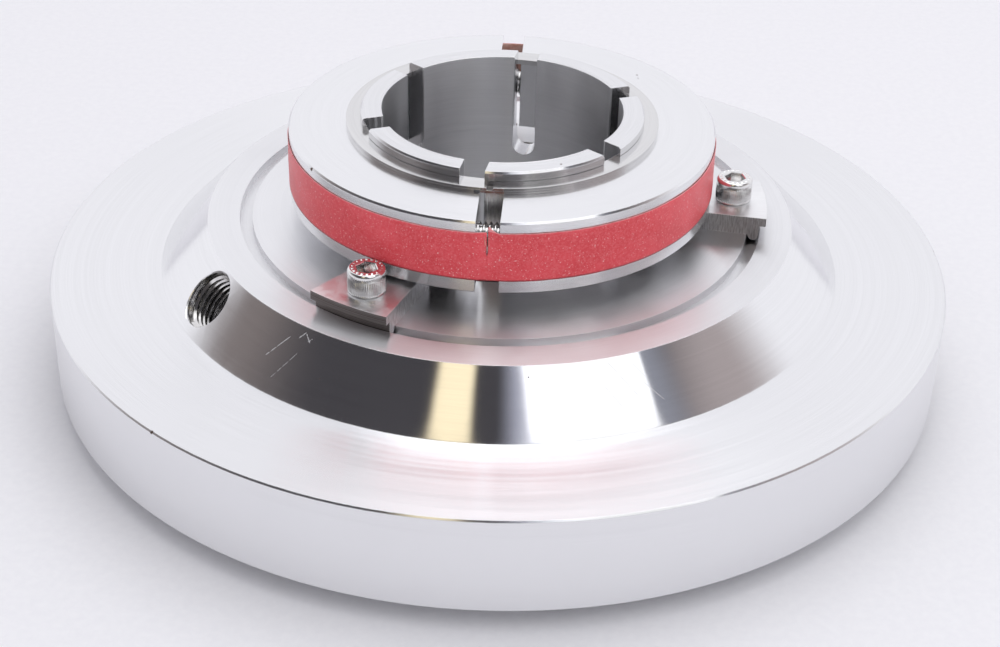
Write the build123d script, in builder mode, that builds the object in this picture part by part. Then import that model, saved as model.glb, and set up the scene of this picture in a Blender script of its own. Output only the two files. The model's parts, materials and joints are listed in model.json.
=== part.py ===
from build123d import *
from math import cos, pi, radians, sin
import os

# Cartridge mechanical seal for a 2-1/2 in shaft, in millimetres.
#
# The shaft axis is Z, with the outboard (air) side up and the pump side down. The pilot of the gland
# stands on z = 0. The gland carries the spring-loaded stationary face, and the shaft sleeve carries the
# rotating face, the split lock collar and its retaining ring. Three setting clips hold the two together
# until the seal is fitted.

os.makedirs("parts", exist_ok=True)

INCH = 25.4

# ---------------------------------------------------------------- driving dimensions
shaft_d = 2.5 * INCH            # shaft that the sleeve slides onto
edge_break = 0.4                # broken edges of the turned parts
thread_clear = 0.05             # tapped hole over its screw, in radius
press_slack = 0.03              # seated and pressed parts, in radius
round_sides = 12                # sides that stand for the round section of an O-ring

# shaft sleeve
sleeve_wall = 7.25
finger_wall = 5.5               # wall of the clamping fingers at the sleeve's upper end
finger_count = 6
finger_slot_w = 0.25 * INCH
finger_slot_angle = 78.9
finger_chamfer = 0.5
sleeve_foot_gap = 1.0           # sleeve end above the pilot's face
relief = 0.3                    # bore relief between the two lands
lower_land_t = 15.0
upper_land_gap = 1.8            # upper land starts this far above the collar's underside
tooth_rise = 2.45               # finger ends above the retaining ring
cup_wall = 3.77                 # rim of the cup that holds the rotating face
cup_h = 9.0
cup_floor_t = 3.0
shaft_ring_up = 5.0             # shaft O-ring groove above the sleeve's end
shaft_ring_clear = 0.05         # shaft O-ring to shaft

# lock collar, in two halves
collar_wall = 18.7
collar_h = 19.75
collar_above_boss = 6.2         # air gap between the boss and the collar
collar_bore_clear = 0.15
collar_chamfer = 0.5
collar_split_angle = 87.1       # direction of the split line
collar_split_w = 5.9
clamp_screw_d = 0.3125 * INCH
clamp_key = 0.25 * INCH
clamp_screw_inset = 8.2         # from the collar's bore to the screw's axis
clamp_seat = 13.5               # head seat from the split line
clamp_engage = 17.0             # thread length beyond the split line
clamp_run_out = 3.0             # tapped hole beyond the screw's end
clamp_hole_clear = 0.25
clamp_head_clear = 0.1

# retaining ring, two flat turns in a groove of the fingers
spiral_out = 3.8                # how far it stands out of the fingers
spiral_turn_t = 0.68
spiral_turns = 2
spiral_seat_depth = 1.35        # how deep its groove is in the fingers
spiral_seat_clear = 0.1
spiral_end_angle = -96.0        # where the two wire ends lie
spiral_end_w = 1.6
spiral_line = 0.1               # fine line left between the turns

# printed band round the collar
band_t = 0.25
band_clear = 0.05
band_bottom = 3.8               # above the collar's underside
band_w = 13.15
band_open_angle = 128.0         # where its two ends meet
band_open_w = 5.0
band_tear_w = 1.2
band_tear_h = 6.5

# setting clips, sawn from one turned ring, and their screws
clip_count = 3
clip_phase = -121.0
clip_sector = 18.2              # degrees
clip_t = 5.1
clip_in_gap = 7.5               # inner end to the sleeve
clip_screw_gap = 6.4            # screw's axis to the collar
clip_screw_d = 0.25 * INCH
clip_key = 0.1875 * INCH
clip_hole_clear = 0.25
clip_screw_engage = 10.0
clip_screw_run_out = 1.0
clip_groove_gap = 4.1           # groove's inner wall to the screw's axis
clip_groove_w = 3.3
clip_groove_depth = 2.2
clip_foot_drop = 1.5
clip_foot_clear = 0.25
clip_overhang = 1.5             # lip of the clip past the groove
clip_lip_t = 2.4

# socket head cap screws: head sizes as shares of the shank's diameter
head_r_share = 0.75
head_h_share = 1.0
socket_share = 0.55             # depth of the hexagon, of the head's height
screw_chamfer = 0.4

# gland plate
boss_land = 8.5                 # flat top of the boss outside the clips' groove
cone_run = 13.1                 # how far the cone widens
boss_h = 13.5
flange_r = 4.75 * INCH
flange_t = 26.0
pilot_r = 3.75 * INCH           # register that enters the stuffing box
pilot_h = 6.0
pilot_lead = 0.5
chamber_step = 8.0              # flush chamber outside the seat bore
chamber_h = 13.0
seat_shoulder = 7.5             # seat bore outside the stationary face's nose
seat_bore_top = 29.0
lip_bore_clear = 1.0            # gland lip to sleeve
lip_t = 3.0

# flush port, 3/8 NPT, square to the cone
port_angle = -150.8             # about the shaft axis, from +X
port_r = 7.7                    # root of the thread
port_depth = 16.0
port_sink = 0.4                 # countersink of the mouth, in radius
port_sink_angle = 90
port_up = 7.2                   # height of the mouth above the flange
passage_r = 3.5
passage_exit_inset = 4.0        # the drilled passage comes out inside the chamber's wall

# gland O-ring, in a groove in the flange's pump-side face
gland_ring_gap = 7.75           # from the pilot to the middle of the groove
gland_ring_cs = 5.33
gland_ring_proud = 1.0
gland_groove_w = 7.0

# seal faces and thrust ring
face_level = 12.0               # plane where the two faces run on each other
film = 0.04
rotary_bore_gap = 2.5           # rotating face to sleeve
rotary_wall = 8.5               # from its bore to the ledge that the O-ring sits on
rotary_clear = 0.1
rotary_h = 8.0
rotary_ledge_h = 4.0
nose_inset = 3.0                # nose of the stationary face, from the rotating face's bore
nose_w = 6.0
nose_h = 2.5
stationary_h = 12.0
stationary_bore_gap = 3.0       # stationary face to sleeve
stationary_clear = 0.4
face_ring_cs = 3.53             # section of the three small O-rings
face_ring_slack = 0.03
face_ring_groove_w = 4.2
face_ring_land = 0.6            # from the nose's shoulder to the O-ring groove
thrust_t = 3.0
face_travel = 1.5

# springs and pins
spring_circle_inset = 4.2       # springs' axes to the seat bore
thrust_inset = 6.8              # springs' axes to the thrust ring's bore
spring_stations = 8             # two opposite stations hold anti-rotation pins
spring_wire_r = 0.55
spring_coil_r = 1.85
spring_coils = 4
spring_steps = 10               # straight steps in each coil
spring_wire_sides = 6
spring_end_clear = 0.03
spring_pocket_r = 2.6
spring_pocket_depth = 8.5
pin_r = 1.6
pin_hole_clear = 0.3
pin_engage = 2.2
pin_seat_depth = 5.0
drive_pin_count = 2
drive_pin_engage = 3.0

# throttle bush and the ring that keeps it
bush_h = 8.0
bush_wall = 8.65
bush_shaft_clear = 0.35
keeper_t = 1.2
keeper_lip = 2.0
keeper_land = 4.0
keeper_gap = 8.0

# ---------------------------------------------------------------- worked-out radii
bore_r = shaft_d / 2
relief_r = bore_r + relief
sleeve_r = bore_r + sleeve_wall
finger_r = bore_r + finger_wall
spiral_seat_r = finger_r - spiral_seat_depth
spiral_r = finger_r + spiral_out
collar_bore_r = finger_r + collar_bore_clear
collar_r = collar_bore_r + collar_wall
clamp_screw_at = collar_bore_r + clamp_screw_inset
band_in_r = collar_r + band_clear

clip_in_r = sleeve_r + clip_in_gap
clip_screw_at = collar_r + clip_screw_gap
clip_groove_in_r = clip_screw_at + clip_groove_gap
clip_groove_out_r = clip_groove_in_r + clip_groove_w
clip_out_r = clip_groove_out_r + clip_overhang
boss_top_r = clip_groove_out_r + boss_land
boss_base_r = boss_top_r + cone_run
port_mouth_r = boss_base_r - cone_run * port_up / boss_h
gland_ring_r = pilot_r + gland_ring_gap

rotary_in_r = sleeve_r + rotary_bore_gap
rotary_ledge_r = rotary_in_r + rotary_wall
rotary_out_r = rotary_ledge_r + face_ring_cs + rotary_clear
cup_in_r = rotary_out_r + rotary_clear
cup_r = cup_in_r + cup_wall
drive_pin_at = (rotary_in_r + rotary_ledge_r) / 2
nose_in_r = rotary_in_r + nose_inset
nose_out_r = nose_in_r + nose_w
seat_bore_r = nose_out_r + seat_shoulder
stationary_in_r = sleeve_r + stationary_bore_gap
stationary_out_r = seat_bore_r - stationary_clear
spring_circle_r = seat_bore_r - spring_circle_inset
thrust_in_r = spring_circle_r - thrust_inset
chamber_r = seat_bore_r + chamber_step
passage_exit_r = chamber_r - passage_exit_inset
lip_bore_r = sleeve_r + lip_bore_clear
bush_in_r = sleeve_r + bush_shaft_clear
bush_out_r = bush_in_r + bush_wall
keeper_r = bush_out_r + keeper_lip
face_ring_room = face_ring_cs + 2 * face_ring_slack

# ---------------------------------------------------------------- worked-out levels
flange_bottom = pilot_h
flange_top = flange_bottom + flange_t
boss_top = flange_top + boss_h
port_mouth_z = flange_top + port_up
collar_bottom = boss_top + collar_above_boss
collar_top = collar_bottom + collar_h
spiral_top = collar_top + spiral_turn_t * spiral_turns
sleeve_top = spiral_top + tooth_rise
sleeve_bottom = sleeve_foot_gap
lower_land = sleeve_bottom + lower_land_t
upper_land = collar_bottom + upper_land_gap
shaft_groove_bottom = sleeve_bottom + shaft_ring_up
cup_top = sleeve_bottom + cup_h
cup_floor = sleeve_bottom + cup_floor_t
clip_bottom = boss_top
clip_top = clip_bottom + clip_t
bush_top = boss_top - lip_t
bush_bottom = bush_top - bush_h
keeper_bottom = bush_bottom - keeper_t
rotary_bottom = face_level - rotary_h
stationary_bottom = face_level + film
stationary_top = stationary_bottom + stationary_h
nose_top = stationary_bottom + nose_h
face_groove_bottom = nose_top + face_ring_land
thrust_top = stationary_top + thrust_t
pocket_top = seat_bore_top + spring_pocket_depth

clip_angles = [clip_phase + 360 / clip_count * i for i in range(clip_count)]
slot_angles = [finger_slot_angle + 360 / finger_count * i for i in range(finger_count)]
station_angles = [360 / spring_stations * i for i in range(spring_stations)]
pin_angles = station_angles[::spring_stations // 2]
spring_angles = [angle for angle in station_angles if angle not in pin_angles]
drive_pin_angles = [360 / drive_pin_count * i for i in range(drive_pin_count)]


# ---------------------------------------------------------------- helpers
def at_angle(radius, angle, level=0.0):
    """Point on a circle round the shaft axis."""
    return (radius * cos(radians(angle)), radius * sin(radians(angle)), level)


def ring_of(radius, angles, level):
    """Points on a circle round the shaft axis, one for each angle."""
    return [at_angle(radius, angle, level) for angle in angles]


def flat_plane(angle, level):
    """Level plane whose local X points out at the angle."""
    return Plane((0, 0, level), x_dir=at_angle(1, angle), z_dir=(0, 0, 1))


def upright_plane(angle):
    """Plane through the shaft axis, with local X out at the angle and local Y up."""
    return Plane((0, 0, 0), x_dir=at_angle(1, angle), z_dir=at_angle(1, angle - 90))


def facing_plane(angle):
    """Plane through the shaft axis whose normal points out at the angle, with local Y up."""
    return Plane((0, 0, 0), x_dir=at_angle(1, angle + 90), z_dir=at_angle(1, angle))


def clamp_plane(outward, out, along):
    """Plane square to the clamp screws, at a distance out from the split line and along it."""
    middle = flat_plane(outward, collar_bottom + collar_h / 2)
    return Plane(middle.from_local_coords((out, along, 0)), z_dir=at_angle(1, outward))


def section(points):
    """Face on the XZ plane, from its (radius, level) corners."""
    with BuildSketch(Plane.XZ) as profile:
        with BuildLine():
            Polyline(*points, close=True)
        make_face()
    return profile.sketch


def ring(in_r, out_r, bottom, top):
    """Plain ring with a rectangular section."""
    with BuildPart() as piece:
        revolve(section([(in_r, bottom), (out_r, bottom), (out_r, top), (in_r, top)]), axis=Axis.Z)
    return piece


def o_ring(mean_r, section_d, level):
    """O-ring whose section, a many-sided round, has its centre at the level."""
    with BuildPart() as piece:
        with BuildSketch(Plane.XZ):
            with Locations((mean_r, level)):
                RegularPolygon(section_d / 2, round_sides)
        revolve(axis=Axis.Z)
    return piece


def round_pin(angle, radius, bottom, top):
    """Upright dowel pin."""
    with BuildPart() as piece:
        with BuildSketch(flat_plane(angle, bottom)):
            with Locations((radius, 0)):
                Circle(pin_r)
        extrude(amount=top - bottom)
    return piece


def socket_screw(seat, shank_d, shank_l, key):
    """Socket head cap screw: the head sits on the seat plane and points along its normal."""
    head_h = head_h_share * shank_d
    axis = Axis(seat.origin, seat.z_dir)
    with BuildPart() as screw:
        with BuildSketch(seat):
            Circle(head_r_share * shank_d)
        extrude(amount=head_h)
        with BuildSketch(seat):
            Circle(shank_d / 2)
        extrude(amount=-shank_l)
        chamfer(screw.edges().filter_by(GeomType.CIRCLE).sort_by(axis)[-1], screw_chamfer)
        chamfer(screw.edges().filter_by(GeomType.CIRCLE).sort_by(axis)[0], screw_chamfer)
        with BuildSketch(seat.offset(head_h)):
            RegularPolygon(key / 2, 6, major_radius=False)
        extrude(amount=-socket_share * head_h, mode=Mode.SUBTRACT)
    return screw


def keep(piece, name):
    """Label a finished piece and write it out."""
    piece.part.label = name
    export_step(piece.part, f"parts/{name}.step")


# ---------------------------------------------------------------- gland plate
port_plane = Plane(
    at_angle(port_mouth_r, port_angle, port_mouth_z),
    z_dir=at_angle(boss_h, port_angle, cone_run),
)


def shelf_points(angles):
    """Stations of the springs or pins, on the shelf above the stationary face."""
    return ring_of(spring_circle_r, angles, seat_bore_top)


passage_exit = Vector(at_angle(passage_exit_r, port_angle, chamber_h / 2))
passage_run = port_plane.offset(-port_depth).origin - passage_exit

with BuildPart() as gland_plate:
    revolve(section([
        (chamber_r, 0), (pilot_r, 0), (pilot_r, flange_bottom), (flange_r, flange_bottom),
        (flange_r, flange_top), (boss_base_r, flange_top), (boss_top_r, boss_top),
        (lip_bore_r, boss_top), (lip_bore_r, bush_top), (bush_out_r, bush_top),
        (bush_out_r, seat_bore_top), (seat_bore_r, seat_bore_top), (seat_bore_r, chamber_h),
        (chamber_r, chamber_h),
    ]), axis=Axis.Z)
    rims = gland_plate.edges().filter_by(GeomType.CIRCLE).sort_by(SortBy.RADIUS)
    chamfer(rims[-2:], edge_break)
    chamfer(gland_plate.faces().sort_by(Axis.Z)[0].edges().sort_by(SortBy.RADIUS)[-1], pilot_lead)
    # groove that the feet of the setting clips drop into
    with BuildSketch(Plane.XY.offset(boss_top)):
        Circle(clip_groove_out_r)
        Circle(clip_groove_in_r, mode=Mode.SUBTRACT)
    extrude(amount=-clip_groove_depth, mode=Mode.SUBTRACT)
    # groove of the gland O-ring
    with BuildSketch(Plane.XY.offset(flange_bottom)):
        Circle(gland_ring_r + gland_groove_w / 2)
        Circle(gland_ring_r - gland_groove_w / 2, mode=Mode.SUBTRACT)
    extrude(amount=gland_ring_cs - gland_ring_proud, mode=Mode.SUBTRACT)
    # groove of the bush's keeper ring
    with BuildSketch(Plane.XY.offset(keeper_bottom)):
        Circle(keeper_r)
    extrude(amount=keeper_t, mode=Mode.SUBTRACT)
    with Locations(*ring_of(clip_screw_at, clip_angles, boss_top)):
        Hole(clip_screw_d / 2 + thread_clear, clip_screw_engage + clip_screw_run_out)
    # spring pockets and pin holes, bored up from the shelf above the stationary face
    with Locations(*[Plane(point, z_dir=(0, 0, -1)) for point in shelf_points(spring_angles)]):
        Hole(spring_pocket_r, spring_pocket_depth)
    with Locations(*[Plane(point, z_dir=(0, 0, -1)) for point in shelf_points(pin_angles)]):
        Hole(pin_r + press_slack, pin_seat_depth)
    with Locations(port_plane):
        CounterSinkHole(port_r, port_r + port_sink, port_depth, port_sink_angle)
    # passage drilled from the port's floor down into the flush chamber
    with BuildSketch(Plane(passage_exit, z_dir=passage_run)):
        Circle(passage_r)
    extrude(amount=passage_run.length + passage_r, mode=Mode.SUBTRACT)
keep(gland_plate, "gland_plate")

gland_ring_level = flange_bottom - gland_ring_proud + gland_ring_cs / 2
keep(o_ring(gland_ring_r, gland_ring_cs, gland_ring_level), "gland_o_ring")

# ---------------------------------------------------------------- throttle bush and its keeper
keep(ring(bush_in_r, bush_out_r - press_slack, bush_bottom, bush_top), "throttle_bush")

with BuildPart() as bush_keeper_ring:
    with BuildSketch(Plane.XY.offset(keeper_bottom)):
        Circle(keeper_r - press_slack)
        Circle(bush_out_r - keeper_land, mode=Mode.SUBTRACT)
        with Locations((bush_out_r, 0)):
            Rectangle(2 * (keeper_land + keeper_lip), keeper_gap, mode=Mode.SUBTRACT)
    extrude(amount=keeper_t)
keep(bush_keeper_ring, "bush_keeper_ring")

# ---------------------------------------------------------------- setting clips and their screws
foot_in_r = clip_groove_in_r + clip_foot_clear
foot_out_r = clip_groove_out_r - clip_foot_clear
foot_bottom = clip_bottom - clip_foot_drop
foot_round = (foot_out_r - foot_in_r) / 2
lip_bottom = clip_top - clip_lip_t

for number, angle in enumerate(clip_angles, start=1):
    with BuildPart() as setting_clip:
        with BuildSketch(upright_plane(angle - clip_sector / 2)):
            with BuildLine():
                Polyline(
                    (foot_out_r, foot_bottom + foot_round), (foot_out_r, lip_bottom),
                    (clip_out_r, lip_bottom), (clip_out_r, clip_top), (clip_in_r, clip_top),
                    (clip_in_r, clip_bottom), (foot_in_r, clip_bottom), (foot_in_r, foot_bottom + foot_round),
                )
                ThreePointArc(
                    (foot_in_r, foot_bottom + foot_round), (foot_in_r + foot_round, foot_bottom),
                    (foot_out_r, foot_bottom + foot_round),
                )
            make_face()
        revolve(axis=Axis.Z, revolution_arc=clip_sector)
        with Locations(at_angle(clip_screw_at, angle, clip_top)):
            Hole(clip_screw_d / 2 + clip_hole_clear, clip_t)
    keep(setting_clip, f"setting_clip_{number}")
    clip_seat = Plane(at_angle(clip_screw_at, angle, clip_top), x_dir=at_angle(1, angle))
    keep(socket_screw(clip_seat, clip_screw_d, clip_t + clip_screw_engage, clip_key), f"clip_screw_{number}")

# ---------------------------------------------------------------- stationary face and thrust ring
with BuildPart() as stationary_face:
    revolve(section([
        (nose_in_r, stationary_bottom), (nose_out_r, stationary_bottom), (nose_out_r, nose_top),
        (stationary_out_r, nose_top), (stationary_out_r, stationary_top),
        (stationary_in_r, stationary_top), (stationary_in_r, nose_top), (nose_in_r, nose_top),
    ]), axis=Axis.Z)
    with BuildSketch(Plane.XY.offset(face_groove_bottom)):
        Circle(seat_bore_r)
        Circle(seat_bore_r - face_ring_room, mode=Mode.SUBTRACT)
    extrude(amount=face_ring_groove_w, mode=Mode.SUBTRACT)
    with Locations(*ring_of(spring_circle_r, pin_angles, stationary_top)):
        Hole(pin_r + pin_hole_clear, pin_engage + face_travel + pin_hole_clear)
keep(stationary_face, "stationary_face")

stationary_ring_level = face_groove_bottom + face_ring_groove_w / 2
keep(o_ring(seat_bore_r - face_ring_room / 2, face_ring_cs, stationary_ring_level), "stationary_o_ring")

with BuildPart() as thrust_ring:
    with BuildSketch(Plane.XY.offset(stationary_top)):
        Circle(stationary_out_r)
        Circle(thrust_in_r, mode=Mode.SUBTRACT)
        with Locations(*ring_of(spring_circle_r, pin_angles, 0)):
            Circle(pin_r + pin_hole_clear, mode=Mode.SUBTRACT)
    extrude(amount=thrust_t)
keep(thrust_ring, "thrust_ring")

# ---------------------------------------------------------------- springs and anti-rotation pins
spring_foot = thrust_top + spring_wire_r + spring_end_clear
spring_run = pocket_top - spring_wire_r - spring_end_clear - spring_foot


def coil_points(foot):
    """Points of a spring's helix, which climbs from its foot in short straight steps."""
    steps = spring_coils * spring_steps
    turn = 2 * pi / spring_steps
    return [
        (foot[0] + spring_coil_r * cos(turn * i), foot[1] + spring_coil_r * sin(turn * i),
         foot[2] + spring_run * i / steps)
        for i in range(steps + 1)
    ]


for number, angle in enumerate(spring_angles, start=1):
    with BuildPart() as face_spring:
        with BuildLine() as coil:
            Polyline(*coil_points(at_angle(spring_circle_r, angle, spring_foot)))
        with BuildSketch(Plane(coil.line @ 0, z_dir=coil.line % 0)):
            RegularPolygon(spring_wire_r, spring_wire_sides)
        sweep(path=coil.line, transition=Transition.RIGHT)
    keep(face_spring, f"face_spring_{number}")

for number, angle in enumerate(pin_angles, start=1):
    pin = round_pin(angle, spring_circle_r, stationary_top - pin_engage, seat_bore_top + pin_seat_depth)
    keep(pin, f"anti_rotation_pin_{number}")

# ---------------------------------------------------------------- shaft sleeve
with BuildPart() as shaft_sleeve:
    revolve(section([
        (bore_r, sleeve_bottom), (cup_r, sleeve_bottom), (cup_r, cup_top), (cup_in_r, cup_top),
        (cup_in_r, cup_floor), (sleeve_r, cup_floor), (sleeve_r, collar_bottom),
        (finger_r, collar_bottom), (finger_r, sleeve_top - finger_chamfer),
        (finger_r - finger_chamfer, sleeve_top), (bore_r, sleeve_top), (bore_r, upper_land),
        (relief_r, upper_land), (relief_r, lower_land), (bore_r, lower_land),
    ]), axis=Axis.Z)
    # slots that part the upper end into clamping fingers, each with a round bottom
    for angle in slot_angles:
        with BuildSketch(facing_plane(angle)):
            with Locations((0, boss_top + finger_slot_w / 2)):
                Circle(finger_slot_w / 2)
                Rectangle(finger_slot_w, sleeve_top - boss_top, align=(Align.CENTER, Align.MIN))
        extrude(amount=collar_r, mode=Mode.SUBTRACT)
    # seat of the retaining ring
    with BuildSketch(Plane.XY.offset(collar_top)):
        Circle(spiral_r)
        Circle(spiral_seat_r, mode=Mode.SUBTRACT)
    extrude(amount=spiral_top + spiral_seat_clear - collar_top, mode=Mode.SUBTRACT)
    # groove of the shaft O-ring
    with BuildSketch(Plane.XY.offset(shaft_groove_bottom)):
        Circle(bore_r + face_ring_room)
    extrude(amount=face_ring_groove_w, mode=Mode.SUBTRACT)
    with Locations(*ring_of(drive_pin_at, drive_pin_angles, cup_floor)):
        Hole(pin_r + press_slack, cup_floor_t)
keep(shaft_sleeve, "shaft_sleeve")

shaft_ring_level = shaft_groove_bottom + face_ring_groove_w / 2
keep(o_ring(bore_r + shaft_ring_clear + face_ring_cs / 2, face_ring_cs, shaft_ring_level), "shaft_o_ring")

# ---------------------------------------------------------------- rotating face and drive pins
with BuildPart() as rotating_face:
    revolve(section([
        (rotary_in_r, rotary_bottom), (rotary_ledge_r, rotary_bottom),
        (rotary_ledge_r, rotary_bottom + rotary_ledge_h), (rotary_out_r, rotary_bottom + rotary_ledge_h),
        (rotary_out_r, face_level), (rotary_in_r, face_level),
    ]), axis=Axis.Z)
    with BuildSketch(Plane.XY.offset(rotary_bottom)):
        with Locations(*ring_of(drive_pin_at, drive_pin_angles, 0)):
            Circle(pin_r + pin_hole_clear)
    extrude(amount=drive_pin_engage + pin_hole_clear, mode=Mode.SUBTRACT)
keep(rotating_face, "rotating_face")

cup_ring_r = (rotary_ledge_r + cup_in_r) / 2
keep(o_ring(cup_ring_r, face_ring_cs, rotary_bottom + rotary_ledge_h / 2), "rotating_face_o_ring")

for number, angle in enumerate(drive_pin_angles, start=1):
    pin = round_pin(angle, drive_pin_at, sleeve_bottom, cup_floor + drive_pin_engage)
    keep(pin, f"drive_pin_{number}")


# ---------------------------------------------------------------- lock collar and clamp screws
def collar_half(outward):
    """Half of the lock collar on the side of the angle: one screw seats in it, the other threads in."""
    with BuildPart() as half:
        with BuildSketch(flat_plane(outward, collar_bottom)):
            Circle(collar_r)
            Circle(collar_bore_r, mode=Mode.SUBTRACT)
            with Locations((collar_split_w / 2, 0)):
                Rectangle(collar_r, 2 * collar_r, align=(Align.MIN, Align.CENTER), mode=Mode.INTERSECT)
        extrude(amount=collar_h)
        rims = half.edges().filter_by(GeomType.CIRCLE).sort_by(SortBy.RADIUS)
        chamfer(rims[-2:], collar_chamfer)
        with Locations(clamp_plane(outward, collar_r, -clamp_screw_at)):
            CounterBoreHole(
                clamp_screw_d / 2 + clamp_hole_clear,
                head_r_share * clamp_screw_d + clamp_head_clear,
                collar_r - clamp_seat,
                collar_r,
            )
        with Locations(clamp_plane(outward + 180, 0, -clamp_screw_at)):
            Hole(clamp_screw_d / 2 + thread_clear, clamp_engage + clamp_run_out)
    return half


for side, place, outward in [
    ("right", "front", collar_split_angle - 90),
    ("left", "rear", collar_split_angle + 90),
]:
    keep(collar_half(outward), f"lock_collar_{side}")
    seat = clamp_plane(outward, clamp_seat, -clamp_screw_at)
    screw = socket_screw(seat, clamp_screw_d, clamp_seat + clamp_engage, clamp_key)
    keep(screw, f"clamp_screw_{place}")

# ---------------------------------------------------------------- collar retaining ring
with BuildPart() as collar_retaining_ring:
    revolve(section([
        (spiral_seat_r + spiral_seat_clear, collar_top), (spiral_r, collar_top),
        (spiral_r, spiral_top), (spiral_seat_r + spiral_seat_clear, spiral_top),
    ]), axis=Axis.Z)
    # the fine line between the turns
    with BuildSketch(Plane.XY.offset(collar_top + spiral_turn_t - spiral_line / 2)):
        Circle(spiral_r)
        Circle(spiral_r - spiral_line, mode=Mode.SUBTRACT)
    extrude(amount=spiral_line, mode=Mode.SUBTRACT)
    # the wire's ends: the lower turn starts and the upper turn stops beside one another
    for level, side in [(collar_top, -1), (collar_top + spiral_turn_t, 1)]:
        with BuildSketch(flat_plane(spiral_end_angle, level)):
            with Locations((spiral_r, side * spiral_end_w)):
                Rectangle(2 * (spiral_r - spiral_seat_r), spiral_end_w)
        extrude(amount=spiral_turn_t, mode=Mode.SUBTRACT)
keep(collar_retaining_ring, "collar_retaining_ring")

# ---------------------------------------------------------------- printed band
with BuildPart() as printed_band:
    with BuildSketch(flat_plane(band_open_angle, collar_bottom + band_bottom)):
        Circle(band_in_r + band_t)
        Circle(band_in_r, mode=Mode.SUBTRACT)
        with Locations((band_in_r, 0)):
            Rectangle(band_open_w, band_open_w, mode=Mode.SUBTRACT)
    extrude(amount=band_w)
    # tear in the upper edge, where the band bridges the front of the split
    with BuildSketch(facing_plane(collar_split_angle + 180)):
        with Locations((0, collar_bottom + band_bottom + band_w)):
            Rectangle(band_tear_w, 2 * band_tear_h)
    extrude(amount=band_in_r + 2 * band_t, mode=Mode.SUBTRACT)
keep(printed_band, "printed_band")
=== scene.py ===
import json
import math

import bmesh
import bpy
from mathutils import Matrix, Vector, noise


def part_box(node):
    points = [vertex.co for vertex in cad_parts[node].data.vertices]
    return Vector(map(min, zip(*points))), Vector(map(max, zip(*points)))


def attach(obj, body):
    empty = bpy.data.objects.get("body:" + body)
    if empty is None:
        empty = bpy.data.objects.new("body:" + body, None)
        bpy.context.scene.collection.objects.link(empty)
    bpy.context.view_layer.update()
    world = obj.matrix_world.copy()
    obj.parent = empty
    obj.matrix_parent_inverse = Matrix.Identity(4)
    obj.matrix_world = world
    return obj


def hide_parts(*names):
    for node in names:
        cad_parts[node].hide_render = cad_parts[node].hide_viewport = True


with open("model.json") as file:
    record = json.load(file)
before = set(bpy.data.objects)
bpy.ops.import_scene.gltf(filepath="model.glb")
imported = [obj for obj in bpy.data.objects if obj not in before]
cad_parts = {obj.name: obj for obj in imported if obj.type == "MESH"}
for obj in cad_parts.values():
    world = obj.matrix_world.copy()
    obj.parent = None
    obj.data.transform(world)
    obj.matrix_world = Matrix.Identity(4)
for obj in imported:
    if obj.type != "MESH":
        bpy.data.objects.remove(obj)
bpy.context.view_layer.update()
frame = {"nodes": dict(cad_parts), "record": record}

MM = 0.001
NODES = frame["nodes"]
UP = Vector((0, 0, 1))

# ---------------------------------------------------------------- places read from the frame, in millimetres


def low_z(node):
    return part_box(node)[0].z / MM


def high_z(node):
    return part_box(node)[1].z / MM


flange_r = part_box("gland_plate")[1].x / MM
boss_top = high_z("gland_plate")
sleeve_top = high_z("shaft_sleeve")
collar_top = high_z("lock_collar_left")
collar_r = -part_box("lock_collar_left")[0].x / MM
band_low, band_high = low_z("printed_band"), high_z("printed_band")
band_r = -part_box("printed_band")[0].x / MM

# places that the frame gives no box for, as in the part's source
FLANGE_TOP = 32.0
CONE_FOOT_R, CONE_TOP_R = 91.5, 78.4
SPLIT_ANGLE = -92.9          # front end of the collar's split line, from +X
SPLIT_W = 5.9
SHAFT_R = 31.75


def at(radius, angle, level):
    """A point in metres from its radius, its angle in degrees and its height."""
    turn = math.radians(angle)
    return Vector((radius * math.cos(turn), radius * math.sin(turn), level)) * MM


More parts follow.
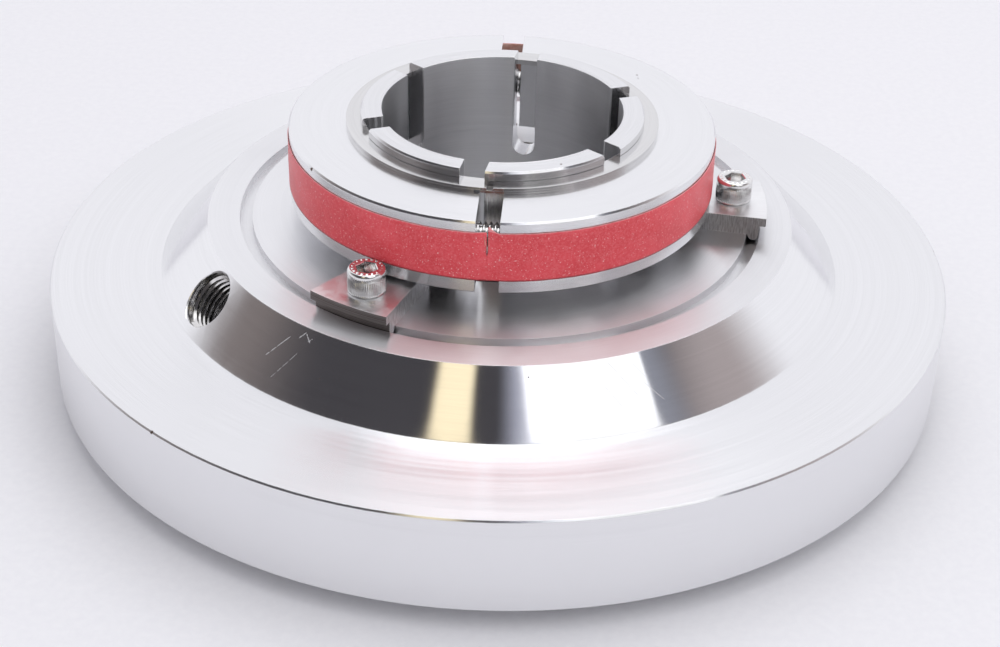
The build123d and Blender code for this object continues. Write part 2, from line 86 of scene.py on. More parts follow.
# ---------------------------------------------------------------- node helpers
class Graph:
    """A material's or the world's node tree, with short calls that add nodes and join them."""

    def __init__(self, tree):
        self.tree = tree
        self.tree.nodes.clear()

    def node(self, kind, inputs=None, **settings):
        made = self.tree.nodes.new("ShaderNode" + kind)
        for name, value in settings.items():
            setattr(made, name, value)
        for name, value in (inputs or {}).items():
            if isinstance(value, bpy.types.NodeSocket):
                self.tree.links.new(value, made.inputs[name])
            else:
                made.inputs[name].default_value = value
        return made

    def math(self, operation, a, b=0.0, c=0.0):
        return self.node("Math", {0: a, 1: b, 2: c}, operation=operation).outputs[0]

    def vector(self, operation, a, b=(0, 0, 0), out=0):
        return self.node("VectorMath", {0: a, 1: b}, operation=operation).outputs[out]

    def split(self, vector):
        return self.node("SeparateXYZ", {0: vector}).outputs

    def join(self, x, y, z):
        return self.node("CombineXYZ", {0: x, 1: y, 2: z}).outputs[0]

    def ramp(self, value, from_low, from_high, to_low=0.0, to_high=1.0):
        """A smooth step between two values, which may fall as well as rise."""
        fixed = not isinstance(from_low, bpy.types.NodeSocket)
        if fixed and from_low > from_high:
            from_low, from_high, to_low, to_high = from_high, from_low, to_high, to_low
        sockets = {"Value": value, "From Min": from_low, "From Max": from_high,
                   "To Min": to_low, "To Max": to_high}
        return self.node("MapRange", sockets, interpolation_type="SMOOTHSTEP").outputs["Result"]

    def mix(self, share, a, b):
        return self.node("Mix", {0: share, 6: a, 7: b}, data_type="RGBA").outputs[2]

    def blend(self, share, a, b):
        return self.node("Mix", {0: share, 2: a, 3: b}, data_type="FLOAT").outputs[0]

    def noise(self, vector, scale, detail=2.0, rough=0.5):
        sockets = {"Vector": vector, "Scale": scale, "Detail": detail, "Roughness": rough}
        return self.node("TexNoise", sockets).outputs["Fac"]

    def most(self, values):
        total = values[0]
        for value in values[1:]:
            total = self.math("MAXIMUM", total, value)
        return total

    def place(self):
        """The place on the object in millimetres."""
        where = self.node("TexCoord").outputs["Object"]
        return self.node("VectorMath", {0: where, "Scale": 1 / MM}, operation="SCALE").outputs[0]

    def finish(self, shader):
        self.node("OutputMaterial", {"Surface": shader.outputs[0]})


def new_material(name):
    material = bpy.data.materials.new(name)
    material.use_nodes = True
    return material, Graph(material.node_tree)


def scratch(g, place, start, end, width):
    """Mask of a straight scratch between two points in millimetres."""
    start, run = Vector(start), Vector(end) - Vector(start)
    off = g.vector("SUBTRACT", place, tuple(start))
    along = g.vector("DOT_PRODUCT", off, tuple(run / run.length_squared), out=1)
    along = g.math("MINIMUM", g.math("MAXIMUM", along, 0.0), 1.0)
    foot = g.node("VectorMath", {0: tuple(run), "Scale": along}, operation="SCALE").outputs[0]
    gap = g.vector("DISTANCE", off, foot, out=1)
    return g.ramp(gap, width, width * 0.3)


def nick(g, place, centre, size):
    """Mask of a small ragged knock."""
    gap = g.vector("DISTANCE", place, tuple(centre), out=1)
    ragged = g.math("ADD", gap, g.math("MULTIPLY", g.noise(place, 2.5, 2.0), 0.7 * size))
    return g.ramp(ragged, 1.15 * size, 0.85 * size)


# ---------------------------------------------------------------- steel
def steel(name, colour, rough, grain=0.03, marks=0.10, aniso=0.6, smear=0.02,
          centre=(0, 0, 0), axis=(0, 0, 1), scratches=(), nicks=(), zones=(), edge=0.2):
    """Machined stainless steel whose turning marks run round an axis.

    grain is the share by which the marks change the tone, marks the depth of their bump, smear the roughness
    that handling adds in patches. zones are (mask function, roughness) of faces with another finish."""
    material, g = new_material(name)
    place = g.place()
    arm = g.vector("SUBTRACT", place, tuple(centre))
    up = g.vector("DOT_PRODUCT", arm, tuple(axis), out=1)
    flat = g.vector("CROSS_PRODUCT", tuple(axis), arm)
    radius = g.vector("LENGTH", flat, out=1)
    # the marks change fast with radius and height, and slowly on the way round
    bow = g.node("VectorMath", {0: g.vector("NORMALIZE", flat), "Scale": 1.5}, operation="SCALE").outputs[0]
    lathe = g.vector("ADD", bow, g.join(radius, up, 0.0))
    fine = g.noise(lathe, 3.1, 2.0, 0.6)
    wide = g.noise(lathe, 0.45, 3.0, 0.55)
    patch = g.noise(place, 0.045, 4.0, 0.6)
    specks = g.noise(place, 1.9, 3.0, 0.65)

    tone = g.ramp(fine, 0.25, 0.75, 1.0 - grain, 1.0)
    tone = g.math("MULTIPLY", tone, g.ramp(wide, 0.3, 0.7, 1.0 - 0.6 * grain, 1.0))
    tone = g.math("MULTIPLY", tone, g.ramp(specks, 0.74, 0.80, 1.0, 1.0 - 1.5 * grain))
    roughness = g.math("ADD", g.ramp(wide, 0.3, 0.7, 0.88 * rough, 1.12 * rough),
                       g.ramp(patch, 0.45, 0.72, 0.0, smear))
    height = fine
    for zone, finish in zones:
        mask = zone(g, radius, up)
        roughness = g.blend(mask, roughness, g.ramp(patch, 0.4, 0.75, finish, finish * 1.25))
        height = g.math("MULTIPLY", height, g.blend(mask, 1.0, min(1.0, finish / rough)))
    base = g.mix(tone, (0, 0, 0, 1), (*colour, 1))
    if scratches:
        cuts = g.most([scratch(g, place, *cut) for cut in scratches])
        broken = g.math("MULTIPLY", cuts, g.ramp(g.noise(place, 1.4, 2.0), 0.36, 0.52))
        roughness = g.blend(broken, roughness, 0.5)
        base = g.mix(broken, base, (0.95, 0.95, 0.97, 1))
        height = g.math("SUBTRACT", height, g.math("MULTIPLY", broken, 1.2))
    if nicks:
        knocks = g.most([nick(g, place, centre_, size) for centre_, size in nicks])
        roughness = g.blend(knocks, roughness, 0.55)
        base = g.mix(knocks, base, (0.16, 0.12, 0.10, 1))
        height = g.math("SUBTRACT", height, g.math("MULTIPLY", knocks, 3.0))
    normal = g.node("Bevel", {"Radius": edge * MM}, samples=4).outputs[0] if edge else None
    bump = g.node("Bump", {"Strength": marks, "Distance": 0.02 * MM, "Height": height})
    if normal:
        g.tree.links.new(normal, bump.inputs["Normal"])
    world = g.node("VectorTransform", {0: flat}, vector_type="VECTOR", convert_from="OBJECT",
                   convert_to="WORLD").outputs[0]
    shader = g.node("BsdfPrincipled", {
        "Base Color": base, "Metallic": 1.0, "Roughness": roughness, "Anisotropic": aniso,
        "Anisotropic Rotation": 0.25, "Normal": bump.outputs[0], "Tangent": world})
    g.finish(shader)
    return material


def ground_steel(name, colour, rough, direction, centre=(0, 0, 0)):
    """Clip steel: a ground top with straight marks along a direction, turned faces and sawn ends. The turned
    side faces are darkened to a brownish colour as painted shade and painted dark reflection, and the sawn
    ends are made pale as a painted highlight.
    """
    material, g = new_material(name)
    place = g.place()
    off = g.vector("SUBTRACT", place, tuple(centre))
    across = Vector(direction).cross(UP)
    lane = g.join(g.vector("DOT_PRODUCT", off, tuple(across), out=1),
                  g.math("MULTIPLY", g.vector("DOT_PRODUCT", off, tuple(direction), out=1), 0.06),
                  g.split(off)[2])
    fine = g.noise(lane, 4.0, 3.0, 0.6)
    wide = g.noise(lane, 0.8, 2.0, 0.5)
    patch = g.noise(place, 0.25, 3.0, 0.6)
    tone = g.ramp(fine, 0.25, 0.75, 0.94, 1.0)
    base = g.mix(tone, (0, 0, 0, 1), (*colour, 1))
    normal = g.node("NewGeometry").outputs["True Normal"]
    side = g.ramp(g.math("ABSOLUTE", g.split(normal)[2]), 0.6, 0.4)
    end = g.ramp(g.math("ABSOLUTE", g.vector("DOT_PRODUCT", normal, tuple(across), out=1)), 0.6, 0.8)
    reach = g.vector("DOT_PRODUCT", off, tuple(direction), out=1)
    sawn = g.noise(g.join(reach, g.math("MULTIPLY", g.split(off)[2], 0.10), 0.0), 3.2, 3.0, 0.7)
    turned = g.noise(g.join(g.split(off)[2], 0.0, 0.0), 3.0, 3.0, 0.7)
    streaks = g.blend(end, turned, sawn)
    # painted shade and painted dark reflection: the turned side faces get a dark brownish colour; painted
    # highlight: the sawn ends get a pale one; the streaks between the two colours are the faces' own marks
    streak_dark_and_painted_shade = g.mix(end, (0.20, 0.17, 0.16, 1), (0.60, 0.58, 0.58, 1))
    streak_light_and_painted_highlight = g.mix(end, (0.46, 0.42, 0.41, 1), (0.92, 0.92, 0.93, 1))
    streaks_and_painted_light = g.mix(g.ramp(streaks, 0.35, 0.65), streak_dark_and_painted_shade, streak_light_and_painted_highlight)
    base = g.mix(side, base, streaks_and_painted_light)
    roughness = g.blend(side, g.ramp(patch, 0.35, 0.7, rough, rough * 1.5), 0.30)
    ground = g.math("ADD", fine, wide)
    height = g.math("ADD", ground, g.math("MULTIPLY", streaks, g.math("MULTIPLY", side, 2.0)))
    bevel = g.node("Bevel", {"Radius": 0.2 * MM}, samples=4).outputs[0]
    bump = g.node("Bump", {"Strength": 0.18, "Distance": 0.02 * MM, "Height": height, "Normal": bevel})
    shader = g.node("BsdfPrincipled", {
        "Base Color": base, "Metallic": 1.0, "Roughness": roughness, "Anisotropic": 0.4,
        "Normal": bump.outputs[0]})
    g.finish(shader)
    return material


def dress(material, *names):
    """Give CAD nodes their material."""
    for name in names:
        mesh = NODES[name].data
        mesh.materials.clear()
        mesh.materials.append(material)


def cone_zone(g, radius, up):
    """Mask of the polished cone of the gland plate."""
    above = g.ramp(up, FLANGE_TOP + 0.1, FLANGE_TOP + 0.3)
    outside = g.ramp(g.math("ADD", radius, up), CONE_TOP_R + boss_top - 0.6, CONE_TOP_R + boss_top - 0.3)
    return g.math("MULTIPLY", above, outside)


def boss_zone(g, radius, up):
    """Mask of the boss face inside the cone."""
    inside = g.ramp(radius, CONE_TOP_R + 0.2, CONE_TOP_R - 0.2)
    return g.math("MULTIPLY", inside, g.ramp(up, boss_top - 3.0, boss_top - 2.5))


def bore_zone(g, radius, up):
    """Mask of the sleeve's bore."""
    return g.ramp(radius, SHAFT_R + 0.6, SHAFT_R + 0.4)


def cone_point(angle, up):
    """A point on the cone in millimetres, from its angle and its height above the flange."""
    share = up / (boss_top - FLANGE_TOP)
    return at(CONE_FOOT_R + (CONE_TOP_R - CONE_FOOT_R) * share, angle, FLANGE_TOP + up) / MM


SILVER = (0.86, 0.86, 0.875)

cone_scratches = [
    (cone_point(-131.1, 5.9), cone_point(-128.3, 10.7), 0.16),
    (cone_point(-126.5, 11.2), cone_point(-125.6, 12.5), 0.18),
    (cone_point(-125.3, 12.3), cone_point(-124.1, 11.2), 0.20),
    (cone_point(-124.6, 11.0), cone_point(-123.9, 11.9), 0.15),
    (cone_point(-128.0, 3.0), cone_point(-125.5, 8.5), 0.10),
    (cone_point(-70.5, 12.8), cone_point(-66.0, 5.0), 0.07),
    (cone_point(-68.0, 12.0), cone_point(-62.5, 4.5), 0.06),
    (cone_point(-66.5, 12.6), cone_point(-64.5, 9.0), 0.07),
    (cone_point(-72.0, 9.0), cone_point(-69.0, 3.5), 0.06)]
flange_nicks = [
    (at(flange_r, -131.9, FLANGE_TOP) / MM, 0.9),
    (at(flange_r, 2.7, FLANGE_TOP) / MM, 0.6),
    (at(flange_r, -118.0, FLANGE_TOP) / MM, 0.35),
    (cone_point(-119.5, 6.0), 0.22),
    (cone_point(-84.5, 11.5), 0.25)]

gland_steel = steel("turned_gland_steel", SILVER, 0.215, grain=0.035, marks=0.10, aniso=0.93, smear=0.015,
                    scratches=cone_scratches, nicks=flange_nicks,
                    zones=[(cone_zone, 0.09), (boss_zone, 0.29)])
dress(gland_steel, "gland_plate")

collar_nicks = [
    (at(collar_r, -147.9, collar_top - 0.4) / MM, 0.8),
    (at(47.9, 39.5, collar_top) / MM, 0.45),
    (at(46.8, 37.4, collar_top) / MM, 0.3)]
dress(steel("turned_collar_steel", SILVER, 0.16, grain=0.03, marks=0.08, aniso=0.9, nicks=collar_nicks),
      "lock_collar_left", "lock_collar_right")

sleeve_nicks = [(at(35.2, -65.0, sleeve_top) / MM, 0.4)]
dress(steel("turned_sleeve_steel", (0.83, 0.83, 0.845), 0.15, grain=0.05, marks=0.12, aniso=0.97,
            nicks=sleeve_nicks, zones=[(bore_zone, 0.29)]), "shaft_sleeve")
dress(steel("turned_ring_steel", (0.76, 0.755, 0.755), 0.14, grain=0.06, marks=0.1, aniso=0.7, edge=0.08),
      "collar_retaining_ring")
dress(steel("turned_pin_steel", (0.78, 0.78, 0.79), 0.22, grain=0.05, marks=0.1),
      "drive_pin_1", "drive_pin_2", "anti_rotation_pin_1", "anti_rotation_pin_2", "thrust_ring",
      "bush_keeper_ring")
dress(steel("drawn_spring_wire", (0.66, 0.66, 0.67), 0.28, grain=0.08, marks=0.1, aniso=0.2),
      *[f"face_spring_{number}" for number in range(1, 7)])

for number in (1, 2, 3):
    clip = f"setting_clip_{number}"
    clip_low, clip_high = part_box(clip)
    middle = (clip_low + clip_high) / 2 / MM
    outward = Vector((middle.x, middle.y, 0)).normalized()
    dress(ground_steel(f"ground_clip_steel_{number}", (0.85, 0.85, 0.86), 0.30, outward, centre=middle), clip)


# ---------------------------------------------------------------- rubber, carbon and carbide
def black_rubber():
    material, g = new_material("black_rubber")
    where = g.node("TexCoord").outputs["Object"]
    bloom = g.noise(where, 260.0, 4.0, 0.6)
    base = g.mix(g.ramp(bloom, 0.4, 0.75), (0.018, 0.018, 0.019, 1), (0.045, 0.045, 0.047, 1))
    bump = g.node("Bump", {"Strength": 0.15, "Distance": 0.03 * MM, "Height": g.noise(where, 2400.0, 3.0)})
    g.finish(g.node("BsdfPrincipled", {
        "Base Color": base, "Roughness": g.ramp(bloom, 0.3, 0.7, 0.42, 0.6), "Normal": bump.outputs[0]}))
    return material


def ceramic(name, dark, pale, rough):
    """Fine-grained seal face material, lapped and slightly mottled."""
    material, g = new_material(name)
    where = g.node("TexCoord").outputs["Object"]
    mottle = g.noise(where, 700.0, 5.0, 0.65)
    pits = g.noise(where, 5200.0, 2.0, 0.6)
    base = g.mix(g.ramp(mottle, 0.3, 0.7), (*dark, 1), (*pale, 1))
    bump = g.node("Bump", {"Strength": 0.12, "Distance": 0.01 * MM, "Height": pits})
    g.finish(g.node("BsdfPrincipled", {
        "Base Color": base, "Roughness": g.ramp(mottle, 0.3, 0.7, rough * 0.8, rough * 1.2),
        "Specular IOR Level": 0.7, "Normal": bump.outputs[0]}))
    return material


dress(black_rubber(), "gland_o_ring", "shaft_o_ring", "rotating_face_o_ring", "stationary_o_ring")
dress(ceramic("silicon_carbide", (0.05, 0.052, 0.056), (0.085, 0.088, 0.094), 0.22), "rotating_face")
dress(ceramic("carbon_graphite", (0.022, 0.022, 0.023), (0.05, 0.05, 0.051), 0.38),
      "stationary_face", "throttle_bush")


# ---------------------------------------------------------------- mesh helpers
def mesh_object(name, verts, faces, material, body, sharp_over):
    mesh = bpy.data.meshes.new(name)
    mesh.from_pydata([tuple(v) for v in verts], [], faces)
    mesh.validate()
    made = bpy.data.objects.new(name, mesh)
    bpy.context.collection.objects.link(made)
    shape = bmesh.new()
    shape.from_mesh(mesh)
    bmesh.ops.remove_doubles(shape, verts=shape.verts, dist=1e-7)
    bmesh.ops.recalc_face_normals(shape, faces=shape.faces)
    for edge in shape.edges:
        if len(edge.link_faces) == 2 and edge.calc_face_angle(0.0) > math.radians(sharp_over):
            edge.smooth = False
    shape.to_mesh(mesh)
    shape.free()
    mesh.polygons.foreach_set("use_smooth", [True] * len(mesh.polygons))
    mesh.materials.append(material)
    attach(made, body)
    return made


def grid_faces(rows, columns):
    """Faces of a grid of vertices that is numbered row by row."""
    faces = []
    for row in range(rows - 1):
        below = row + 1
        for column in range(columns - 1):
            faces.append((row * columns + column, row * columns + column + 1,
                          below * columns + column + 1, below * columns + column))
    return faces


# ---------------------------------------------------------------- cap screws
HEAD_SHARE = 1.5             # head diameter over nominal diameter
SCREW_SIDES = 216
KNURL_TEETH = 54
DIMPLES = 18


def hexagon_radius(across_flats, turn):
    """Distance from a hexagon's centre to its side at an angle."""
    sixth = math.pi / 3
    return across_flats / 2 / math.cos(turn % sixth - sixth / 2)


def cap_screw(name, node, body, outward, pitch, key):
    """A knurled socket head cap screw with a real thread, in place of its plain solid.

    outward points from the thread to the head; key is the hexagon's size across flats."""
    points = [Vector(v.co) / MM for v in NODES[node].data.vertices]
    outward = outward.normalized()
    side = outward.orthogonal().normalized()
    other = outward.cross(side)
    spans = []
    for axis in (side, other, outward):
        along = [p.dot(axis) for p in points]
        spans.append((min(along), max(along)))
    (side_low, side_high), (other_low, other_high), (tip, top) = spans
    head_r = (side_high - side_low) / 2
    shank_r = head_r / HEAD_SHARE
    head_h = 2 * shank_r
    centre = side * (side_low + side_high) / 2 + other * (other_low + other_high) / 2

    def place(radius, turn, level):
        return (centre + side * radius * math.cos(turn) + other * radius * math.sin(turn)
                + outward * level) * MM

    seat = top - head_h
    chamfer = 0.10 * head_r
    # rings of the head: radius, height above the seat, knurl depth
    wall = [(shank_r, 0.0, 0.0), (head_r - 0.35, 0.0, 0.0), (head_r - 0.12, 0.16, 0.0), (head_r, 0.5, 0.0),
            (head_r, 0.62, 0.15), (head_r, head_h * 0.66, 0.15), (head_r, head_h * 0.70, 0.0),
            (head_r, head_h - chamfer - 0.25, 0.0), (head_r - 0.10, head_h - chamfer, 0.0),
            (head_r - 0.34, head_h - 0.14, 0.0), (head_r - 0.62, head_h, 0.0),
            (head_r - 0.72, head_h, 0.0), (head_r - 1.02, head_h, -0.22), (head_r - 1.40, head_h, 0.0)]
    verts = []
    for radius, level, depth in wall:
        for step in range(SCREW_SIDES):
            turn = 2 * math.pi * step / SCREW_SIDES
            teeth = KNURL_TEETH if depth > 0 else DIMPLES
            groove = depth * (0.5 - 0.5 * math.cos(teeth * turn))
            if depth < 0:
                verts.append(place(radius, turn, seat + level + groove))
            else:
                verts.append(place(radius - groove, turn, seat + level))
    socket_depth = 0.55 * head_h
    socket = [(1.10, 0.0), (1.0, -0.18), (1.0, -socket_depth), (0.80, -socket_depth - 0.25)]
    for share, level in socket:
        for step in range(SCREW_SIDES):
            turn = 2 * math.pi * step / SCREW_SIDES
            radius = hexagon_radius(key, turn) * share
            verts.append(place(radius, turn, top + level))
    rings = len(wall) + len(socket)
    faces = []
    for ring in range(rings - 1):
        for step in range(SCREW_SIDES):
            after = (step + 1) % SCREW_SIDES
            faces.append((ring * SCREW_SIDES + step, ring * SCREW_SIDES + after,
                          (ring + 1) * SCREW_SIDES + after, (ring + 1) * SCREW_SIDES + step))
    last = (rings - 1) * SCREW_SIDES
    verts.append(place(0.0, 0.0, top - socket_depth - 1.0))
    floor_point = len(verts) - 1
    for step in range(SCREW_SIDES):
        faces.append((last + step, last + (step + 1) % SCREW_SIDES, floor_point))
    # shank: a grip, then a thread whose crest and root follow a helix
    around = 36
    grip = 0.6
    length = seat - tip
    crest, root = shank_r, shank_r - 0.54 * pitch
    start = len(verts)
    turns = (length - grip) / pitch
    steps = int(turns * around)
    profile = [(crest, -0.06), (crest, 0.06), (root, 0.42), (root, 0.58)]
    for step in range(steps + 1):
        turn = 2 * math.pi * step / around
        fade = min(1.0, step / around, (steps - step) / around)
        for radius, share in profile:
            level = seat - grip - min(pitch * (step / around + share * 0.999), length - grip)
            verts.append(place(root + (radius - root) * fade, turn, level))
    columns = len(profile)
    faces += [tuple(start + i for i in face) for face in grid_faces(steps + 1, columns)]
    for step in range(steps + 1 - around):
        this, under = start + step * columns + columns - 1, start + (step + around) * columns
        if step < steps - around:
            faces.append((this, this + columns, under + columns, under))
    for level_a, level_b, radius_a, radius_b in ((0.0, -grip, shank_r, root), (-grip, -length, root - 0.02,
                                                                              root - 0.02)):
        first = len(verts)
        for level, radius in ((level_a, radius_a), (level_b, radius_b)):
            for step in range(around):
                verts.append(place(radius, 2 * math.pi * step / around, seat + level))
        for step in range(around):
            after = (step + 1) % around
            faces.append((first + step, first + after, first + around + after, first + around + step))
    verts.append(place(0.0, 0.0, tip))
    tip_point = len(verts) - 1
    first = tip_point - around
    for step in range(around):
        faces.append((first + step, first + (step + 1) % around, tip_point))
    finish = steel(f"steel_of_{name}", (0.84, 0.835, 0.83), 0.19, grain=0.06, marks=0.12, aniso=0.3,
                   centre=centre, axis=outward, edge=0.0, smear=0.03)
    made = mesh_object(name, verts, faces, finish, body, sharp_over=28)
    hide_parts(node)


INCH = 25.4
for number in (1, 2, 3):
    cap_screw(f"clip_cap_screw_{number}", f"clip_screw_{number}", "gland", UP, INCH / 20, 3 / 16 * INCH)
across_split = at(1, SPLIT_ANGLE + 90, 0).normalized()
cap_screw("clamp_cap_screw_front", "clamp_screw_front", "rotor", across_split, INCH / 18, INCH / 4)
cap_screw("clamp_cap_screw_rear", "clamp_screw_rear", "rotor", -across_split, INCH / 18, INCH / 4)


# ---------------------------------------------------------------- thread of the flush port
def port_thread():
    """Tapered pipe thread inside the flush port: ridges that stand in from the plain bored wall."""
    port = next(m for m in frame["record"]["mounts"] if m["name"] == "flush_port")
    axis = Vector(port["axis"])
    root_r = port["dims"]["r_mm"]
    depth = 16.0
    mouth = Vector(port["pos_m"]) / MM + axis * depth / 2
    side = axis.orthogonal().normalized()
    other = axis.cross(side)
    pitch = INCH / 18
    around = 72
    start, end = 0.5, 14.0
    steps = int((end - start - pitch) / pitch * around)
    verts = []
    # across one ridge: share of the pitch, height in share of the crest
    profile = [(0.0, 0.0), (0.10, 0.0), (0.44, 1.0), (0.56, 1.0), (0.90, 0.0)]
    for step in range(steps + 1):
        turn = 2 * math.pi * step / around
        fade = min(1.0, step / (0.5 * around))
        deep = step / steps
        for share, height in profile:
            ridge = (0.62 + 0.35 * deep) * height * fade
            radius = root_r - 0.03 - 0.25 * deep - ridge
            level = -start - pitch * (step / around + share)
            point = mouth + side * radius * math.cos(turn) + other * radius * math.sin(turn) + axis * level
            verts.append(point * MM)
    columns = len(profile)
    faces = grid_faces(steps + 1, columns)
    for step in range(steps - around):
        this, under = step * columns + columns - 1, (step + around) * columns
        faces.append((this, this + columns, under + columns, under))
    finish = steel("tapped_port_steel", (0.80, 0.79, 0.78), 0.14, grain=0.12, marks=0.3, aniso=0.2,
                   centre=mouth, axis=axis, edge=0.0)
    mesh_object("flush_port_thread", verts, faces, finish, "gland", sharp_over=50)


port_thread()


# ---------------------------------------------------------------- red tape
TAPE_T = 0.2
GAP_ANGLE = 128.0            # where the two ends of the tape come near each other
GAP_W = 5.0
TEAR_DEPTH = 6.5
TEAR_W = 1.7
BAND_OVER_SLOT_DIP = 0.12    # how far the tape sinks where it bridges the slot


def red_paper():
    """Red printed paper tape, fibrous, darker in a ragged strip along its lower edge, paler and frayed along
    its top edge, and lightly varnished.
    """
    material, g = new_material("red_paper_tape")
    place = g.place()
    level = g.split(place)[2]
    fibre = g.noise(place, 1.6, 5.0, 0.7)
    cloud = g.noise(place, 0.11, 3.0, 0.55)
    specks = g.noise(place, 2.6, 2.0, 0.5)
    base = g.mix(g.ramp(cloud, 0.3, 0.7), (0.74, 0.052, 0.066, 1), (0.84, 0.075, 0.095, 1))
    base = g.mix(g.ramp(fibre, 0.42, 0.68, 0.0, 0.5), base, (0.90, 0.20, 0.22, 1))
    base = g.mix(g.ramp(specks, 0.655, 0.70, 0.0, 0.75), base, (0.95, 0.66, 0.66, 1))
    ragged_edge_level = g.math("ADD", level, g.math("MULTIPLY", g.noise(place, 0.9, 3.0), 0.5))
    # darker towards the lower edge, in a ragged strip
    base = g.mix(g.ramp(ragged_edge_level, band_low + 0.75, band_low + 0.35, 0.0, 0.7), base, (0.28, 0.012, 0.02, 1))
    # paler frayed fibres along the top edge
    base = g.mix(g.ramp(ragged_edge_level, band_high + 0.02, band_high + 0.25, 0.0, 0.6), base, (0.90, 0.45, 0.46, 1))
    bump = g.node("Bump", {"Strength": 0.35, "Distance": 0.05 * MM,
                           "Height": g.math("ADD", fibre, g.math("MULTIPLY", cloud, 2.0))})
    shader = g.node("BsdfPrincipled", {
        "Base Color": base, "Roughness": g.ramp(fibre, 0.3, 0.7, 0.30, 0.44), "Specular IOR Level": 0.6,
        "Normal": bump.outputs[0]})
    g.finish(shader)
    return material


def tape_backing():
    """Pale salmon underside of the tape, with streaks of glue."""
    material, g = new_material("tape_backing")
    place = g.node("TexCoord").outputs["Object"]
    glue = g.noise(place, 420.0, 4.0, 0.6)
    base = g.mix(g.ramp(glue, 0.35, 0.65), (0.62, 0.27, 0.20, 1), (0.82, 0.50, 0.42, 1))
    bump = g.node("Bump", {"Strength": 0.3, "Distance": 0.05 * MM, "Height": glue})
    g.finish(g.node("BsdfPrincipled", {
        "Base Color": base, "Roughness": g.ramp(glue, 0.3, 0.7, 0.35, 0.6), "Normal": bump.outputs[0]}))
    return material


def bell(value, width):
    return math.exp(-(value / width) ** 2)


def tape_band():
    """One strip of tape round both collar halves, torn from its top edge at the front slot."""
    arc = 360 / (2 * math.pi * band_r)                      # degrees in a millimetre along the tape
    first = GAP_ANGLE + GAP_W / 2 * arc - 360
    last = GAP_ANGLE - GAP_W / 2 * arc
    tear = SPLIT_ANGLE - 0.05
    rows = 24
    fine, coarse = 0.16, 1.2
    # angles of the columns: close together near the tear, wider elsewhere
    columns = [tear]
    for sign, end in ((-1, first), (1, last)):
        angle, line = tear, []
        while abs(end - angle) > coarse * arc:
            away = abs(angle - tear) / arc
            angle += sign * arc * min(coarse, fine + 0.09 * max(0.0, away - 4.0))
            line.append(angle)
        line.append(end)
        columns = columns + line if sign > 0 else line[::-1] + columns

    middle = columns.index(tear)
    height = band_high - band_low

    def shape(angle, share, side):
        """Point of the strip; side is -1 or 1 on the two lips of the tear, else 0."""
        along = (angle - tear) / arc
        up = band_low + share * height
        below = band_high - up
        radius = band_r
        bearing = math.radians(angle)
        radius += 0.07 * noise.noise(Vector((math.cos(bearing) * 9, math.sin(bearing) * 9, up * 0.25)))
        over_slot = bell(along, SPLIT_W * 0.45)
        near_top = max(0.0, 1 - below / (TEAR_DEPTH + 2.0))
        radius -= BAND_OVER_SLOT_DIP * over_slot
        lip = side if side else (1 if along > 0 else -1)
        torn = max(0.0, 1 - below / TEAR_DEPTH)
        if abs(along) < SPLIT_W / 2:
            fold = 1 - abs(along) / (SPLIT_W / 2)
            radius -= (1.5 if lip > 0 else 0.7) * near_top * fold
            up += (1.1 if lip > 0 else -0.15) * torn ** 2 * fold ** 2
        # two creases that climb away to the right of the tear
        radius += 0.16 * bell(below - (7.4 - 0.62 * along), 0.30) * bell(along - 4.2, 2.4)
        radius -= 0.10 * bell(below - (6.4 - 0.30 * along), 0.35) * bell(along - 3.0, 2.0)
        radius += 0.10 * bell(below - (8.8 - 0.1 * along), 0.30) * bell(along + 2.6, 2.2)
        # the strip's edges aren't cut quite straight
        edge = 0.10 * noise.noise(Vector((angle * 0.09, 3.0, share)))
        edge += 0.05 * noise.noise(Vector((angle * 0.5, 7, share)))
        up += edge * (2 * abs(share - 0.5)) ** 3
        shift = 0.0
        if side:
            ragged = 1 + 0.5 * noise.noise(Vector((up * 1.3, side, 0.5)))
            shift = side * TEAR_W / 2 * torn ** 0.8 * ragged - 0.10 * torn
        turn = math.radians(angle + shift * arc)
        return Vector((radius * math.cos(turn), radius * math.sin(turn), up)) * MM

    verts, faces = [], []
    strips = [(columns[:middle + 1], -1), (columns[middle:], 1)]
    for strip, side in strips:
        start = len(verts)
        for angle in strip:
            for row in range(rows + 1):
                share = row / rows
                on_tear = side if angle == tear else 0
                verts.append(shape(angle, share, on_tear))
        faces += [tuple(start + i for i in face) for face in grid_faces(len(strip), rows + 1)]
    tape = mesh_object("red_tape_band", verts, faces, red_paper(), "rotor", sharp_over=80)
    thick = tape.modifiers.new("thickness", "SOLIDIFY")
    thick.thickness = TAPE_T * MM
    thick.offset = -1
    tape.data.materials.append(tape_backing())
    thick.material_offset = 1
    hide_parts("printed_band")


tape_band()

# ---------------------------------------------------------------- floor
floor_material, g = new_material("white_paper_sheet")
where = g.node("TexCoord").outputs["Object"]
grain = g.noise(where, 420.0, 5.0, 0.7)
bump = g.node("Bump", {"Strength": 0.06, "Distance": 0.1 * MM, "Height": grain})
tint = g.mix(g.ramp(grain, 0.3, 0.7), (0.90, 0.90, 0.915, 1), (0.93, 0.93, 0.94, 1))
g.finish(g.node("BsdfPrincipled", {"Base Color": tint, "Roughness": 0.95, "Specular IOR Level": 0.2,
                                   "Normal": bump.outputs[0]}))
bpy.ops.mesh.primitive_plane_add(size=6.0, location=(0, 0, -0.01 * MM))
floor = bpy.context.object
floor.name = "floor"
floor.data.materials.append(floor_material)


# ---------------------------------------------------------------- studio
def world_card(g, azimuth, elevation, middle, half, soft):
    """Mask of a soft-edged card in the room, from its middle and half size as azimuth and elevation."""
    turned = g.math("SUBTRACT", azimuth, middle[0])
    turned = g.math("WRAP", turned, 180.0, -180.0)
    wide = g.ramp(g.math("ABSOLUTE", turned), half[0] + soft, half[0] - soft)
    raised = g.math("SUBTRACT", elevation, middle[1])
    tall = g.ramp(g.math("ABSOLUTE", raised), half[1] + soft, half[1] - soft)
    return g.math("MULTIPLY", wide, tall)


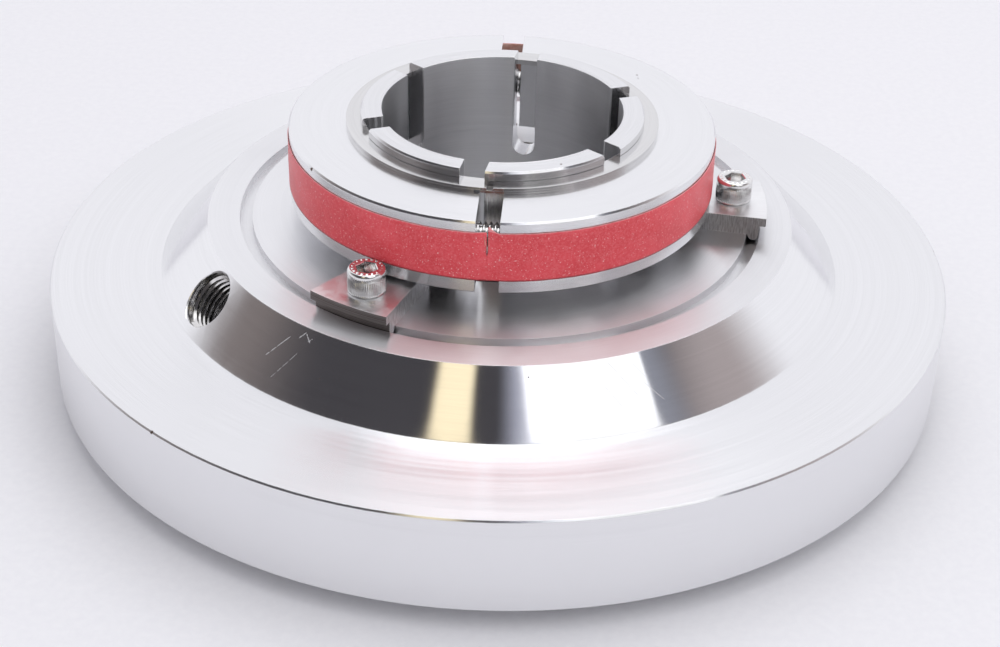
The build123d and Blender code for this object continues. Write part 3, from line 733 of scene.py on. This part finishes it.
def studio_world():
    """A white room whose front half is dark above the table, where the photographer stands."""
    world = bpy.data.worlds.new("studio")
    bpy.context.scene.world = world
    world.use_nodes = True
    g = Graph(world.node_tree)
    x, y, z = g.split(g.node("TexCoord").outputs["Generated"])
    azimuth = g.math("DEGREES", g.math("ARCTAN2", y, x))
    elevation = g.math("DEGREES", g.math("ARCSINE", z))
    level = g.math("SQRT", g.math("ADD", g.math("MULTIPLY", x, x), g.math("MULTIPLY", y, y)))
    leaning = g.math("MULTIPLY_ADD", x, 0.12, y)
    facing = g.math("DIVIDE", leaning, g.math("MAXIMUM", level, 0.01))
    front = g.ramp(facing, 0.50, 0.15)
    ahead = g.ramp(facing, -0.35, -0.75)
    above = g.ramp(elevation, g.math("MULTIPLY_ADD", ahead, -9.0, 13.0),
                   g.math("MULTIPLY_ADD", ahead, -11.0, 25.0))
    shade = g.ramp(elevation, g.ramp(x, -0.5, 0.5, 27.0, 34.0), g.ramp(x, -0.5, 0.5, 41.0, 47.0))
    wall = g.mix(g.ramp(x, -0.5, 0.5), (0.22, 0.19, 0.185, 1), (0.44, 0.385, 0.385, 1))
    wall = g.mix(ahead, wall, (0.085, 0.078, 0.08, 1))
    ceiling = g.mix(shade, wall, (0.062, 0.059, 0.066, 1))
    room = g.mix(g.math("MULTIPLY", front, above), (0.98, 0.98, 1.02, 1), ceiling)
    glow = world_card(g, azimuth, elevation, (-74.0, 54.0), (10.0, 12.0), 6.0)
    room = g.mix(glow, room, (0.42, 0.43, 0.52, 1))
    strip = world_card(g, azimuth, elevation, (-108.0, 53.0), (8.0, 14.0), 2.0)
    room = g.mix(strip, room, (1.25, 1.08, 0.74, 1))
    side_glow = world_card(g, azimuth, elevation, (-26.0, 45.0), (7.0, 12.0), 6.0)
    room = g.mix(side_glow, room, (0.30, 0.31, 0.36, 1))
    path = g.node("LightPath")
    seen = g.math("MAXIMUM", path.outputs["Is Camera Ray"], path.outputs["Is Glossy Ray"])
    spread = g.node("Background", {"Color": (0.945, 0.935, 1.0, 1), "Strength": 0.74}).outputs[0]
    shown = g.node("Background", {"Color": room, "Strength": 1.0}).outputs[0]
    both = g.node("MixShader", {0: seen, 1: spread, 2: shown})
    g.node("OutputWorld", {"Surface": both.outputs[0]})


def softbox(name, azimuth, elevation, distance, width, height, radiance):
    """Area light that looks at the seal from a direction, with the brightness of its face given."""
    light = bpy.data.lights.new(name, "AREA")
    light.shape = "RECTANGLE"
    light.size, light.size_y = width, height
    light.energy = radiance * math.pi * width * height
    lamp = bpy.data.objects.new(name, light)
    bpy.context.collection.objects.link(lamp)
    turn, rise = math.radians(azimuth), math.radians(elevation)
    back = Vector((math.cos(turn) * math.cos(rise), math.sin(turn) * math.cos(rise), math.sin(rise)))
    lamp.location = back * distance
    lamp.rotation_euler = (-back).to_track_quat("-Z", "Y").to_euler()


studio_world()
softbox("key_softbox", 60, 78, 1.5, 1.3, 1.3, 1.0)
softbox("window_softbox", -52, 50, 1.3, 0.73, 0.66, 1.2)

# ---------------------------------------------------------------- camera
CAMERA_RISE = math.radians(31.99)
CAMERA_ROLL = math.radians(1.44)
CAMERA_DISTANCE = 0.5372
CAMERA_TARGET = Vector((0, 0, 8.4 * MM))


def camera():
    lens = bpy.data.cameras.new("camera")
    lens.sensor_width = 36.0
    lens.lens = 68.85
    lens.shift_x, lens.shift_y = 0.0028, -0.0005
    lens.clip_start, lens.clip_end = 0.01, 50.0
    eye = bpy.data.objects.new("camera", lens)
    bpy.context.collection.objects.link(eye)
    right = Vector((1, 0, 0))
    up = Vector((0, math.sin(CAMERA_RISE), math.cos(CAMERA_RISE)))
    back = Vector((0, -math.cos(CAMERA_RISE), math.sin(CAMERA_RISE)))
    rolled_right = math.cos(CAMERA_ROLL) * right + math.sin(CAMERA_ROLL) * up
    rolled_up = math.cos(CAMERA_ROLL) * up - math.sin(CAMERA_ROLL) * right
    turn = Matrix((rolled_right, rolled_up, back)).transposed().to_4x4()
    eye.matrix_world = Matrix.Translation(CAMERA_TARGET + back * CAMERA_DISTANCE) @ turn
    bpy.context.scene.camera = eye


camera()
bpy.context.scene.view_settings.view_transform = "Standard"
